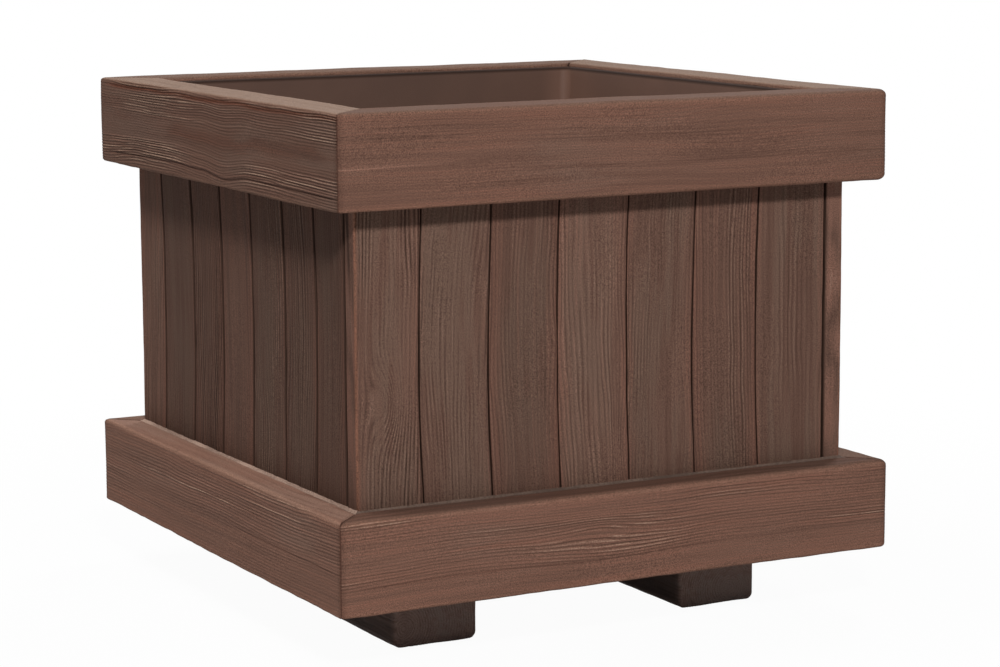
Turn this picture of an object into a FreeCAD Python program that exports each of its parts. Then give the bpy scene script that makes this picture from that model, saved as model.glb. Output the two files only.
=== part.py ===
import FreeCAD, Part
import os
import re
import Sketcher

# Driving sizes in millimetres. Boards are counted from the end where their wall laps the next one.
sizes = {
    # Boards of the front and back walls
    "front_width_1": 69.0,
    "front_width_2": 73.0,
    "front_width_3": 74.0,
    "front_width_4": 77.0,
    "front_width_5": 75.0,
    "front_width_6": 73.0,
    "front_width_7": 79.0,
    # Boards of the right and left walls
    "side_width_1": 65.0,
    "side_width_2": 80.5,
    "side_width_3": 77.0,
    "side_width_4": 77.0,
    "side_width_5": 78.0,
    "side_width_6": 72.0,
    "side_width_7": 70.5,
    # Board section, and how much of the boards shows between the two frames
    "board_thickness": 20.0,
    "wall_reveal": 283.0,
    "board_drip": 4.0,
    "board_edge_radius": 2.5,
    "joint_gap": 1.0,
    "tongue_thickness": 6.0,
    "tongue_depth": 6.0,
    "tongue_side_clearance": 0.2,
    "tongue_end_clearance": 1.0,
    # Rim rails, with the wood left over the board tops
    "rim_height": 90.0,
    "rim_overhang": 30.0,
    "rim_cap": 30.0,
    "rim_edge_radius": 7.0,
    "rim_inner_radius": 4.0,
    # Base rails
    "base_height": 90.0,
    "base_overhang": 34.0,
    "base_edge_radius": 4.0,
    # Outer upright corners of both frames
    "mitre_corner_radius": 3.0,
    # Skids, set in from the outer faces of the walls and housed in the base
    "ground_clearance": 62.0,
    "skid_housing": 27.0,
    "skid_width": 89.0,
    "skid_side_inset": 65.0,
    "skid_end_inset": 58.0,
    "skid_edge_radius": 8.0,
    "skid_end_chamfer": 2.0,
    # Floor slats, and the ledgers that carry their ends
    "slat_gap": 9.6,
    "slat_thickness": 18.0,
    "slat_edge_radius": 2.0,
    "floor_clearance": 1.0,
    "ledger_width": 30.0,
    "ledger_height": 22.0,
    # Liner
    "liner_wall": 4.0,
    "liner_clearance": 1.5,
    "liner_drop": 4.0,
    "liner_draft": 9.0,
    "liner_corner_radius": 14.0,
    "liner_lip_chamfer": 1.2,
    "drain_diameter": 16.0,
    "drain_spacing": 300.0,
    # Square nails, with the wood left beyond their points
    "nail_size": 1.8,
    "nail_cover": 6.0,
    "base_nail_drop": 30.0,
    "corner_nail_length": 45.0,
    "corner_nail_set": 2.0,
    "corner_nail_inset": 14.0,
    "corner_nail_spacing": 50.0,
    "floor_nail_length": 50.0,
    "floor_nail_spacing": 40.0,
}
slat_count = 6

front_widths = [name for name in sizes if name.startswith("front_width_")]
side_widths = [name for name in sizes if name.startswith("side_width_")]

# Lengths and levels that follow from the driving sizes
width = f"({' + '.join(front_widths)} + board_thickness)"
depth = f"({' + '.join(side_widths)} + board_thickness)"
inside_width = f"({width} - 2 * board_thickness)"
inside_depth = f"({depth} - 2 * board_thickness)"
base_top = "(ground_clearance + base_height)"
rim_bottom = f"({base_top} + wall_reveal)"
rim_top = f"({rim_bottom} + rim_height)"
board_bottom = "(ground_clearance + board_drip)"
board_top = f"({rim_top} - rim_cap)"
skid_height = "(ground_clearance + skid_housing)"
skid_place = f"({width} / 2 - skid_side_inset - skid_width / 2)"
skid_reach = f"({depth} / 2 - skid_end_inset)"
floor_top = f"({skid_height} + slat_thickness)"
floor_depth = f"({inside_depth} - 2 * floor_clearance)"
slat_length = f"({inside_width} - 2 * floor_clearance)"
slat_pitch = f"(({floor_depth} + slat_gap) / {slat_count})"
slat_width = f"({slat_pitch} - slat_gap)"
liner_height = f"({rim_top} - liner_drop - {floor_top})"

# Each side: its boards, its length and how far it stands from its opposite, then its turn about Z
plans = {
    "front": (front_widths, width, depth),
    "right": (side_widths, depth, width),
    "back": (front_widths, width, depth),
    "left": (side_widths, depth, width),
}
sides = {side: (*plan, 90 * quarter) for quarter, (side, plan) in enumerate(plans.items())}

doc = FreeCAD.newDocument("planter")
sheet = doc.addObject("Spreadsheet::Sheet", "Sizes")
for row, (size_name, number) in enumerate(sizes.items(), start=1):
    sheet.set(f"A{row}", size_name)
    sheet.set(f"B{row}", str(number))
    sheet.setAlias(f"B{row}", size_name)
doc.recompute()

upright = FreeCAD.Vector(0, 0, 1)
sub_parts = []


# Sizes and sketches


def bound(text):
    """The expression with each size written as its cell in the sheet."""

    def cell(word):
        return f"Sizes.{word.group()}" if word.group() in sizes else word.group()

    return re.sub(r"[a-z][a-z_0-9]*", cell, text)


def value(text):
    return float(sheet.evalExpression(bound(text)))


def bind(thing, name, text):
    thing.setExpression(name, bound(text))


def turned(angle):
    return FreeCAD.Placement(FreeCAD.Vector(), FreeCAD.Rotation(upright, angle))


def new_body(label, level="0", turn=0):
    """A body standing at a level, turned about the planter's upright axis."""
    body = doc.addObject("PartDesign::Body", label)
    body.Label = label
    body.Placement = turned(turn)
    bind(body, "Placement.Base.z", level)
    return body


def new_sketch(body, name):
    """A sketch on the body's ground plane."""
    sketch = body.newObject("Sketcher::SketchObject", name)
    plane = next(item for item in body.Origin.OriginFeatures if item.Role == "XY_Plane")
    sketch.AttachmentSupport = [(plane, "")]
    sketch.MapMode = "FlatFace"
    return sketch


def place_point(sketch, element, point, place):
    """Ties a point of the sketch to its x and y expressions."""
    for axis, text in zip(("DistanceX", "DistanceY"), place):
        constraint = Sketcher.Constraint(axis, -1, 1, element, point, value(text))
        index = sketch.addConstraint(constraint)
        bind(sketch, f"Constraints[{index}]", text)


def draw_outline(sketch, corners):
    """A closed outline of straight lines through corners given as expressions."""
    points = [FreeCAD.Vector(value(x), value(y), 0) for x, y in corners]
    lines = [Part.LineSegment(a, b) for a, b in zip(points, points[1:] + points[:1])]
    elements = sketch.addGeometry(lines)
    for element, following in zip(elements, elements[1:] + elements[:1]):
        sketch.addConstraint(Sketcher.Constraint("Coincident", element, 2, following, 1))
    for element, corner in zip(elements, corners):
        place_point(sketch, element, 1, corner)


def draw_rectangle(sketch, x_length, y_length, y_middle="0"):
    signs = ((-1, -1), (1, -1), (1, 1), (-1, 1))
    corners = [(f"{a} * {x_length} / 2", f"{y_middle} + {b} * {y_length} / 2") for a, b in signs]
    draw_outline(sketch, corners)


def draw_circles(sketch, centres, diameter):
    for centre in centres:
        middle = FreeCAD.Vector(value(centre[0]), value(centre[1]), 0)
        element = sketch.addGeometry(Part.Circle(middle, upright, value(diameter) / 2))
        place_point(sketch, element, 3, centre)
        index = sketch.addConstraint(Sketcher.Constraint("Diameter", element, value(diameter)))
        bind(sketch, f"Constraints[{index}]", diameter)


# Features


def pad(body, sketch, height):
    feature = body.newObject("PartDesign::Pad", f"{body.Name}_pad")
    feature.Profile = sketch
    bind(feature, "Length", height)
    doc.recompute()


def pocket_upward(body, sketch, cut_depth):
    """A cut up from the sketch's plane, which must take something away."""
    before = body.Shape.Volume
    feature = body.newObject("PartDesign::Pocket", f"{body.Name}_pocket")
    feature.Profile = sketch
    feature.Reversed = True
    bind(feature, "Length", cut_depth)
    doc.recompute()
    if body.Shape.Volume >= before:
        raise RuntimeError(f"{feature.Name} cuts nothing")


def ease_edges(body, wanted, kind, size_property, size):
    """Eases the edges of the body that the test picks."""
    base = body.Tip
    numbered = enumerate(base.Shape.Edges, start=1)
    names = [f"Edge{index}" for index, edge in numbered if wanted(edge)]
    feature = body.newObject(kind, f"{body.Name}_eased")
    feature.Base = (base, names)
    bind(feature, size_property, size)
    doc.recompute()


def round_edges(body, wanted, radius):
    ease_edges(body, wanted, "PartDesign::Fillet", "Radius", radius)


def bevel_edges(body, wanted, leg):
    ease_edges(body, wanted, "PartDesign::Chamfer", "Size", leg)


def near(a, b):
    return abs(a - b) < 0.001


def is_upright(edge):
    first, last = edge.Vertexes[0].Point, edge.Vertexes[-1].Point
    return near(first.x, last.x) and near(first.y, last.y) and not near(first.z, last.z)


def lies_level(edge, level):
    return all(near(vertex.Z, level) for vertex in edge.Vertexes)


def face_names(shape, wanted):
    return [f"Face{index}" for index, face in enumerate(shape.Faces, start=1) if wanted(face)]


# Boards


def board_start(side, index):
    """Where a board begins along its side, from the side's middle."""
    widths, length, _, _ = sides[side]
    return f"({' + '.join([f'-{length} / 2'] + widths[:index])})"


def board_corners(start, end, face, first, last):
    """Section of a board: a groove towards the lap end, a tongue towards the far end."""
    back = f"({face} + board_thickness)"
    middle = f"({face} + board_thickness / 2)"
    near_edge = start if first else f"({start} + joint_gap / 2)"
    far_edge = end if last else f"({end} - joint_gap / 2)"
    tongue_tip = f"({far_edge} + joint_gap + tongue_depth)"
    groove_end = f"({near_edge} + tongue_depth + tongue_end_clearance)"
    tongue = "tongue_thickness / 2"
    groove = "(tongue_thickness / 2 + tongue_side_clearance)"
    corners = [(near_edge, face), (far_edge, face)]
    if not last:
        corners += [
            (far_edge, f"{middle} - {tongue}"),
            (tongue_tip, f"{middle} - {tongue}"),
            (tongue_tip, f"{middle} + {tongue}"),
            (far_edge, f"{middle} + {tongue}"),
        ]
    corners += [(far_edge, back), (near_edge, back)]
    if not first:
        corners += [
            (near_edge, f"{middle} + {groove}"),
            (groove_end, f"{middle} + {groove}"),
            (groove_end, f"{middle} - {groove}"),
            (near_edge, f"{middle} - {groove}"),
        ]
    return corners


def make_board(side, index):
    """A board with its showing edges eased. The first of a wall also shows its edge at the corner."""
    widths, _, apart, turn = sides[side]
    first, last = index == 0, index == len(widths) - 1
    start = board_start(side, index)
    face = f"(-{apart} / 2)"
    corners = board_corners(start, f"({start} + {widths[index]})", face, first, last)
    body = new_body(f"{side}_board_{index + 1}", board_bottom, turn)
    section = new_sketch(body, f"{body.Name}_section")
    draw_outline(section, corners)
    pad(body, section, f"{board_top} - {board_bottom}")
    lap_edge = value(start)
    outer_face = value(face)
    inner_face = value(f"{face} + board_thickness")

    def shows(edge):
        x, y, _ = edge.Vertexes[0].Point
        lap_arris = first and near(x, lap_edge) and near(y, inner_face)
        return is_upright(edge) and (near(y, outer_face) or lap_arris)

    round_edges(body, shows, "board_edge_radius")
    sub_parts.append(body)


# Rim and base frames


def make_frame(name, overhang, height, level, opening_inset):
    """A rectangular frame round the walls, with its upright outer corners eased."""
    frame = new_body(f"{name}_frame", level)
    plan = new_sketch(frame, f"{name}_plan")
    draw_rectangle(plan, f"({width} + 2 * {overhang})", f"({depth} + 2 * {overhang})")
    draw_rectangle(plan, f"({width} - 2 * {opening_inset})", f"({depth} - 2 * {opening_inset})")
    pad(frame, plan, height)
    outer = value(f"{width} / 2 + {overhang}")

    def outer_corner(edge):
        return is_upright(edge) and near(abs(edge.Vertexes[0].X), outer)

    round_edges(frame, outer_corner, "mitre_corner_radius")
    return frame


def round_outside(frame, overhang, level, radius):
    """Rounds the outer edges that run round a frame at a level."""
    half_width = value(f"{width} / 2 + {overhang} - mitre_corner_radius")
    half_depth = value(f"{depth} / 2 + {overhang} - mitre_corner_radius")

    def outside(edge):
        x, y, _ = edge.CenterOfMass
        return lies_level(edge, level) and (abs(x) > half_width or abs(y) > half_depth)

    round_edges(frame, outside, radius)


def cut_mitres(name, frame, height, level):
    """Four rails from one frame, parted along the diagonals at its corners."""
    reach = f"({width} + {depth})"
    for side, (_, length, apart, turn) in sides.items():
        cutter = doc.addObject("Part::Box", f"{name}_{side}_cutter")
        cutter.Placement = turned(turn - 135)
        for size_property, text in (("Length", reach), ("Width", reach), ("Height", height)):
            bind(cutter, size_property, text)
        inward = turned(turn).multVec(FreeCAD.Vector(0, 1, 0))
        bind(cutter, "Placement.Base.x", f"{round(inward.x)} * ({length} - {apart}) / 2")
        bind(cutter, "Placement.Base.y", f"{round(inward.y)} * ({length} - {apart}) / 2")
        bind(cutter, "Placement.Base.z", level)
        rail = doc.addObject("Part::Common", f"{name}_rail_{side}")
        rail.Label = f"{name}_rail_{side}"
        rail.Base = frame
        rail.Tool = cutter
        sub_parts.append(rail)


def make_rim():
    """Rails flush inside with the boards, rebated to sit down over the board tops."""
    frame = make_frame("rim", "rim_overhang", "rim_height", rim_bottom, "board_thickness")
    rebate = new_sketch(frame, "rim_rebate")
    draw_rectangle(rebate, width, depth)
    pocket_upward(frame, rebate, "rim_height - rim_cap")
    height = value("rim_height")
    round_outside(frame, "rim_overhang", height, "rim_edge_radius")
    round_outside(frame, "rim_overhang", 0, "rim_edge_radius")
    half_opening = value(f"{inside_width} / 2")
    half_opening_depth = value(f"{inside_depth} / 2")

    def inner_arris(edge):
        x, y, _ = edge.CenterOfMass
        on_side = near(abs(x), half_opening) or near(abs(y), half_opening_depth)
        return lies_level(edge, height) and on_side

    round_edges(frame, inner_arris, "rim_inner_radius")
    cut_mitres("rim", frame, "rim_height", rim_bottom)


def make_base():
    frame = make_frame("base", "base_overhang", "base_height", "ground_clearance", "0")
    round_outside(frame, "base_overhang", value("base_height"), "base_edge_radius")
    round_outside(frame, "base_overhang", 0, "base_edge_radius")
    cut_mitres("base", frame, "base_height", "ground_clearance")


# Skids, floor slats and ledgers


def make_skid(label, hand):
    body = new_body(label)
    bind(body, "Placement.Base.x", f"{hand} * {skid_place}")
    plan = new_sketch(body, f"{label}_plan")
    draw_rectangle(plan, "skid_width", f"(2 * {skid_reach})")
    pad(body, plan, skid_height)
    half_width = value("skid_width / 2")
    half_length = value(skid_reach)

    def long_edge(edge):
        return near(abs(edge.CenterOfMass.x), half_width) and near(edge.CenterOfMass.y, 0)

    def end_edge(edge):
        return all(near(abs(vertex.Y), half_length) for vertex in edge.Vertexes)

    round_edges(body, long_edge, "skid_edge_radius")
    bevel_edges(body, lambda edge: end_edge(edge) and not long_edge(edge), "skid_end_chamfer")
    sub_parts.append(body)


def slat_middle(index):
    return f"({index} * {slat_pitch} - ({floor_depth} - {slat_width}) / 2)"


def make_slat(index):
    label = f"floor_slat_{index + 1}"
    body = new_body(label, skid_height)
    bind(body, "Placement.Base.y", slat_middle(index))
    plan = new_sketch(body, f"{label}_plan")
    draw_rectangle(plan, slat_length, slat_width)
    pad(body, plan, "slat_thickness")
    top = value("slat_thickness")

    def top_arris(edge):
        return lies_level(edge, top) and near(edge.CenterOfMass.x, 0)

    round_edges(body, top_arris, "slat_edge_radius")
    sub_parts.append(body)


def make_ledger(side):
    """A batten inside a wall, under the slats. Side ledgers fit between the front and back ones."""
    _, _, apart, turn = sides[side]
    run = inside_width if side in ("front", "back") else f"({inside_depth} - 2 * ledger_width)"
    body = new_body(f"ledger_{side}", f"{skid_height} - ledger_height", turn)
    plan = new_sketch(body, f"{body.Name}_plan")
    middle = f"(-{apart} / 2 + board_thickness + ledger_width / 2)"
    draw_rectangle(plan, run, "ledger_width", middle)
    pad(body, plan, "ledger_height")
    sub_parts.append(body)


# Nails, each kind kept as one sub-part of separate solids


def add_group(label, solids):
    group = doc.addObject("Part::Feature", label)
    group.Label = label
    group.Shape = Part.makeCompound(solids)
    group.Placement = FreeCAD.Placement()
    sub_parts.append(group)


def level_nail(x, outer_end, z, length, turn):
    """A nail lying square to a side, from its outer end inwards."""
    nail = value("nail_size")
    solid = Part.makeBox(nail, length, nail, FreeCAD.Vector(x - nail / 2, outer_end, z - nail / 2))
    solid.Placement = turned(turn).multiply(solid.Placement)
    return solid


def board_middle(side, index):
    board_width = sides[side][0][index]
    return value(f"{board_start(side, index)} + {board_width} / 2")


def make_rail_nails(label, overhang, board_level, rail_middle):
    """One nail out through each board into its rail, and two across each mitre, set below the face."""
    nails = []
    for side, (widths, length, apart, turn) in sides.items():
        outer = value(f"-{apart} / 2 - {overhang}")
        run = value(f"board_thickness + {overhang} - nail_cover")
        for index in range(len(widths)):
            middle = board_middle(side, index)
            nails.append(level_nail(middle, outer + value("nail_cover"), value(board_level), run, turn))
        inset = value(f"-{length} / 2 - {overhang} + corner_nail_inset")
        for step in (-1, 1):
            level = value(f"{rail_middle} + {step} * corner_nail_spacing / 2")
            head = outer + value("corner_nail_set")
            nails.append(level_nail(inset, head, level, value("corner_nail_length"), turn))
    add_group(label, nails)


def make_ledger_nails():
    """Nails out through each ledger into every board but the two at the corners."""
    nails = []
    level = value(f"{skid_height} - ledger_height / 2")
    run = value("ledger_width + board_thickness - nail_cover")
    for side, (widths, _, apart, turn) in sides.items():
        point = value(f"-{apart} / 2 + nail_cover")
        for index in range(1, len(widths) - 1):
            nails.append(level_nail(board_middle(side, index), point, level, run, turn))
    add_group("ledger_nails", nails)


def make_floor_nails():
    """Two nails down through every slat into each skid, in the middle of where they cross."""
    nail, length = value("nail_size"), value("floor_nail_length")
    bottom = value(floor_top) - length
    reach, half_slat = value(skid_reach), value(f"{slat_width} / 2")
    nails = []
    for index in range(slat_count):
        middle = value(slat_middle(index))
        y = (max(middle - half_slat, -reach) + min(middle + half_slat, reach)) / 2
        for hand in (-1, 1):
            for step in (-1, 1):
                x = value(f"{hand} * {skid_place} + {step} * floor_nail_spacing / 2")
                corner = FreeCAD.Vector(x - nail / 2, y - nail / 2, bottom)
                nails.append(Part.makeBox(nail, nail, length, corner))
    add_group("floor_nails", nails)


# Liner


def draft_walls(body, inset, height):
    """Leans the body's upright faces in towards its foot, with its top left as it is."""
    block = body.Tip
    top = value(height)
    feature = body.newObject("PartDesign::Draft", f"{body.Name}_draft")
    feature.Base = (block, face_names(block.Shape, lambda face: near(face.normalAt(0, 0).z, 0)))
    feature.NeutralPlane = (block, face_names(block.Shape, lambda face: near(face.CenterOfMass.z, top)))
    feature.Reversed = True
    bind(feature, "Angle", f"atan({inset} / {height})")
    doc.recompute()


def hollow(body, wall, height):
    """Leaves a wall inside every face but the top one."""
    block = body.Tip
    top = value(height)
    feature = body.newObject("PartDesign::Thickness", f"{body.Name}_hollow")
    feature.Base = (block, face_names(block.Shape, lambda face: near(face.CenterOfMass.z, top)))
    feature.Reversed = True
    bind(feature, "Value", wall)
    doc.recompute()


def drain_centres():
    """One drain in the middle and two towards the front and back, over gaps between slats."""
    gaps = [f"({slat_middle(index)} + {slat_pitch} / 2)" for index in range(slat_count - 1)]
    corners = [(f"{hand} * drain_spacing / 2", gap) for hand in (-1, 1) for gap in (gaps[0], gaps[-1])]
    return corners + [("0", gaps[len(gaps) // 2])]


def make_liner():
    """A tub with a slight draft that drops in on the floor slats."""
    body = new_body("liner", floor_top)
    plan = new_sketch(body, "liner_plan")
    mouth_width = f"({inside_width} - 2 * liner_clearance)"
    mouth_depth = f"({inside_depth} - 2 * liner_clearance)"
    draw_rectangle(plan, mouth_width, mouth_depth)
    pad(body, plan, liner_height)
    draft_walls(body, "liner_draft", liner_height)
    top = value(liner_height)
    round_edges(body, lambda edge: not lies_level(edge, top), "liner_corner_radius")
    hollow(body, "liner_wall", liner_height)
    bevel_edges(body, lambda edge: lies_level(edge, top), "liner_lip_chamfer")
    drains = new_sketch(body, "liner_drains")
    draw_circles(drains, drain_centres(), "drain_diameter")
    pocket_upward(body, drains, "liner_wall")
    sub_parts.append(body)


def check_model():
    doc.recompute()
    for item in doc.Objects:
        if "Invalid" in item.State or "Error" in item.State:
            raise RuntimeError(f"{item.Label} failed: {item.State}")
    for item in sub_parts:
        if item.Shape.isNull() or not item.Shape.isValid():
            raise RuntimeError(f"{item.Label} has no valid shape")


def write_parts():
    os.makedirs("parts", exist_ok=True)
    for item in sub_parts:
        item.Shape.exportStep(f"parts/{item.Label}.step")


for side_name, (side_boards, _, _, _) in sides.items():
    for board_index in range(len(side_boards)):
        make_board(side_name, board_index)
make_rim()
make_base()
make_skid("skid_left", -1)
make_skid("skid_right", 1)
for slat_index in range(slat_count):
    make_slat(slat_index)
for side_name in sides:
    make_ledger(side_name)
rim_nail_level = f"({rim_bottom} + {board_top}) / 2"
base_nail_level = f"{base_top} - base_nail_drop"
make_rail_nails("rim_nails", "rim_overhang", rim_nail_level, f"({rim_bottom} + rim_height / 2)")
make_rail_nails("base_nails", "base_overhang", base_nail_level, "(ground_clearance + base_height / 2)")
make_ledger_nails()
make_floor_nails()
make_liner()
check_model()
write_parts()
print(len(sub_parts), "sub-parts")
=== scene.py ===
import math
import bmesh
import bpy
import numpy as np
from mathutils import Matrix, Vector


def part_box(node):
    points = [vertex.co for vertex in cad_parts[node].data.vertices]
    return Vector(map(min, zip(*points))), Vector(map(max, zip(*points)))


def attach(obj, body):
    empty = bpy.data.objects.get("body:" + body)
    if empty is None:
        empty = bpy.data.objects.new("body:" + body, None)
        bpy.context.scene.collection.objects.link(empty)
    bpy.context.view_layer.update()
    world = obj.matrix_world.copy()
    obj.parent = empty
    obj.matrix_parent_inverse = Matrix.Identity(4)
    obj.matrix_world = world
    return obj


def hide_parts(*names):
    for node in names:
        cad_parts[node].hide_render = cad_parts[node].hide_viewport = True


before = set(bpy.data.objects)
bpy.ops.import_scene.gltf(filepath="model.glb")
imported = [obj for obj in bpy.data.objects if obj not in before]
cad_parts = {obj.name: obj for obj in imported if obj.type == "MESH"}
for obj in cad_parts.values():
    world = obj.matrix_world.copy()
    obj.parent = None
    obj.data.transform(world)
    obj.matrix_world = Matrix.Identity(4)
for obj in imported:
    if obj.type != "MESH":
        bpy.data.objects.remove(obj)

scene = bpy.context.scene
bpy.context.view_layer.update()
print("frame loaded:", len(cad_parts), "nodes")

mm = 0.001
east = np.array((1.0, 0.0, 0.0))
north = np.array((0.0, 1.0, 0.0))
up = np.array((0.0, 0.0, 1.0))
# each wall as seen from outside: which way its boards are counted, and the way into the planter
walls = {"front": (east, north), "right": (north, -east), "back": (-east, -north), "left": (-north, east)}
wallOrder = list(walls)
boardsPerWall = 7


def bySide(*values):
    # a value for each wall: front, right, back, left
    return dict(zip(walls, values))


def bySideMm(*values):
    return bySide(*(value * mm for value in values))


def reach(node, direction):
    # lowest and highest place of a node along a level or upright direction
    return sorted(float(np.dot(corner, direction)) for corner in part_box(node))


# Smooth repeatable noise

def scatter(cellX, cellY, seed):
    # a number from -1 to 1 for each cell: large odd numbers mix its place with the seed
    mixed = (cellX * 374761393 + cellY * 668265263 + seed * 974634777) & 0xFFFFFFFF
    mixed = ((mixed ^ (mixed >> 13)) * 1274126177) & 0xFFFFFFFF
    return ((mixed ^ (mixed >> 16)) & 0xFFFF) / 32767.5 - 1.0


def cloud(x, y, seed):
    # the same numbers, joined smoothly from cell to cell
    x, y = np.broadcast_arrays(np.asarray(x, float), np.asarray(y, float))
    cellX, cellY = np.floor(x).astype(np.int64), np.floor(y).astype(np.int64)
    u, v = (t * t * t * (t * (t * 6 - 15) + 10) for t in (x - cellX, y - cellY))
    low = scatter(cellX, cellY, seed) * (1 - u) + scatter(cellX + 1, cellY, seed) * u
    high = scatter(cellX, cellY + 1, seed) * (1 - u) + scatter(cellX + 1, cellY + 1, seed) * u
    return low * (1 - v) + high * v


# Shader sums

class Wire:
    # one socket of a finish, so that sums on it read as sums
    def __init__(self, finish, socket):
        self.finish = finish
        self.socket = socket

    def sum(self, operation, first, second):
        return self.finish.node("ShaderNodeMath", {"operation": operation}, {0: first, 1: second})

    def __add__(self, other):
        return self.sum("ADD", self, other)

    __radd__ = __add__

    def __sub__(self, other):
        return self.sum("SUBTRACT", self, other)

    def __rsub__(self, other):
        return self.sum("SUBTRACT", other, self)

    def __mul__(self, other):
        return self.sum("MULTIPLY", self, other)

    __rmul__ = __mul__


class Finish:
    # a material and its nodes
    def __init__(self, name):
        self.material = bpy.data.materials.new(name)
        self.material.use_nodes = True
        self.tree = self.material.node_tree
        self.shader = self.tree.nodes["Principled BSDF"]

    def node(self, kind, settings=None, inputs=None, output=0):
        made = self.tree.nodes.new(kind)
        for name, choice in (settings or {}).items():
            setattr(made, name, choice)
        for name, given in (inputs or {}).items():
            self.feed(made.inputs[name], given)
        return Wire(self, made.outputs[output])

    def feed(self, socket, given):
        if isinstance(given, Wire):
            self.tree.links.new(given.socket, socket)
        else:
            socket.default_value = given

    def put(self, name, given):
        # a number or a wire on one of the shader's own sockets
        self.feed(self.shader.inputs[name], given)

    def place(self):
        # where a spot is on its object, in metres
        return self.node("ShaderNodeTexCoord", output="Object")

    def split(self, vector):
        first = self.node("ShaderNodeSeparateXYZ", inputs={0: vector})
        return [Wire(self, socket) for socket in first.socket.node.outputs]

    def mark(self, name):
        # what a mesh carries under this name, as one vector and as three numbers
        vector = self.node("ShaderNodeAttribute", {"attribute_name": name}, output="Vector")
        return vector, self.split(vector)

    def stretch(self, vector, factors):
        return self.node("ShaderNodeVectorMath", {"operation": "MULTIPLY"}, {0: vector, 1: factors})

    def length(self, vector):
        return self.node("ShaderNodeVectorMath", {"operation": "LENGTH"}, {0: vector}, output="Value")

    def noise(self, vector, scale, detail=2.0, rough=0.5):
        given = {"Vector": vector, "Scale": scale, "Detail": detail, "Roughness": rough}
        return self.node("ShaderNodeTexNoise", {"noise_dimensions": "3D"}, given)

    def ramp(self, value, low, high, toLow=0.0, toHigh=1.0):
        given = {"Value": value, "From Min": low, "From Max": high, "To Min": toLow, "To Max": toHigh}
        return self.node("ShaderNodeMapRange", {"interpolation_type": "SMOOTHSTEP"}, given)

    def blend(self, share, first, second, way="MIX"):
        # a Mix node takes colours on its sockets 6 and 7
        given = {0: share, 6: first, 7: second}
        return self.node("ShaderNodeMix", {"data_type": "RGBA", "blend_type": way}, given, output=2)

    def wave(self, value):
        # 0 at whole numbers, 1 half way between them
        swing = self.node("ShaderNodeMath", {"operation": "SINE"}, {0: value * math.pi})
        return self.node("ShaderNodeMath", {"operation": "ABSOLUTE"}, {0: swing})

    def shade(self, colour, value):
        # a colour made lighter or darker by a number
        grey = self.node("ShaderNodeCombineColor", inputs={0: value, 1: value, 2: value})
        return self.blend(1.0, colour, grey, "MULTIPLY")

    def bump(self, strength, distance, height):
        raised = {"Strength": strength, "Distance": distance, "Height": height}
        self.put("Normal", self.node("ShaderNodeBump", inputs=raised))

    def seen(self):
        # 1 for the camera, mirrors and glass, 0 for the light that falls on the planter
        rays = [self.node("ShaderNodeLightPath", output=name)
                for name in ("Is Camera Ray", "Is Glossy Ray", "Is Transmission Ray")]
        return self.node("ShaderNodeClamp", inputs={0: rays[0] + rays[1] + rays[2]})


def stain(seen):
    # red, green and blue as seen on a screen, to the linear numbers that a shader takes
    parts = [part / 255 for part in seen]
    linear = [part / 12.92 if part < 0.04045 else ((part + 0.055) / 1.055) ** 2.4 for part in parts]
    return (*linear, 1.0)


# Stained timber

timberLooks = {
    "rail": {
        "tints": {
            "body": (105, 78, 66), "deep": (97, 71, 60), "red": (111, 77, 64), "grey": (103, 80, 69),
            "line": (70, 50, 41), "light": (152, 125, 107), "edge": (124, 94, 78), "rust": (112, 68, 52),
            "gap": (50, 29, 23), "dustAndSheen": (123, 102, 89),
        },
        "lineShare": 0.8, "lightShare": 0.85, "edgeShare": 0.3, "proud": (0.5, 1.1), "speckle": 0.95,
        "rough": (0.62, 0.78), "bump": 1.0,
    },
    "board": {
        "tints": {
            "body": (101, 76, 65), "deep": (92, 68, 58), "red": (110, 77, 65), "grey": (99, 78, 67),
            "line": (62, 45, 38), "light": (128, 102, 88), "edge": (126, 82, 62), "rust": (118, 74, 56),
            "gap": (55, 40, 33), "dustAndSheen": (118, 98, 86),
        },
        "lineShare": 0.9, "lightShare": 0.5, "edgeShare": 0.4, "proud": (0.2, 0.9), "speckle": 1.0,
        "rough": (0.62, 0.8), "bump": 1.0,
    },
    # skids: paler tints, painted light on the ends, which lie in shade under the base
    "skid": {
        "tints": {
            "body": (132, 108, 98), "deep": (122, 99, 90), "red": (132, 105, 93), "grey": (128, 110, 102),
            "line": (82, 64, 56), "light": (152, 127, 115), "edge": (132, 107, 96), "rust": (120, 90, 76),
            "gap": (60, 46, 40), "dustAndSheen": (140, 122, 112),
        },
        "lineShare": 0.95, "lightShare": 0.6, "edgeShare": 0.3, "proud": (0.25, 0.9), "speckle": 0.5,
        "rough": (0.55, 0.7), "bump": 0.8,
    },
    "inner": {
        "tints": {
            "body": (120, 92, 75), "deep": (104, 79, 64), "red": (126, 90, 71), "grey": (114, 98, 85),
            "line": (88, 66, 54), "light": (140, 114, 96), "edge": (130, 102, 85), "rust": (120, 84, 66),
            "gap": (60, 46, 40), "dustAndSheen": (130, 112, 98),
        },
        "lineShare": 0.7, "lightShare": 0.5, "edgeShare": 0.4, "proud": (0.25, 0.9), "speckle": 0.4,
        "rough": (0.6, 0.8), "bump": 0.8,
    },
}
# noise that runs with the grain: stretch across, along and into the timber, then detail and roughness
grainNoise = {
    "fine": ((1.5, 24.0, 1.5), 3.0, 0.6),
    "streak": ((0.5, 4.0, 0.5), 4.0, 0.55),
    "blotch": ((0.06, 5.0, 0.06), 3.0, 0.5),
    "strength": ((0.9, 1.8, 0.9), 2.0, 0.5),
}
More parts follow.
